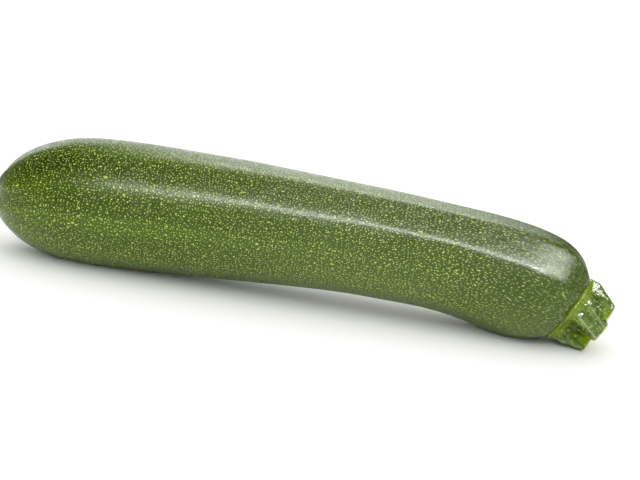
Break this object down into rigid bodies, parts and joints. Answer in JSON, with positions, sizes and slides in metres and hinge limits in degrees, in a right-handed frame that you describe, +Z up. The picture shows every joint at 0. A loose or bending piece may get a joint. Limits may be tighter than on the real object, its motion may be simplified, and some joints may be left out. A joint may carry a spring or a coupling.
{
  "type": "courgette",
  "caption": "Whole courgette lying on its belly: a long, gently arched, blunt-ribbed fruit with a blossom scar at one end and a short ribbed stem stub at the other.",
  "frame": {"origin": "middle of the bottom of the courgette's bounding box, on the surface it lies on", "axes": "+X from the blossom end towards the stem, +Z up, +Y completes a right-handed frame"},
  "size_m": [0.2274, 0.0456, 0.0454],
  "materials": {
    "skin": "satin",
    "stem": "satin"
  },
  "bodies": {
    "root": {"fruit": "skin", "stem": "stem"}
  },
  "joints": []
}
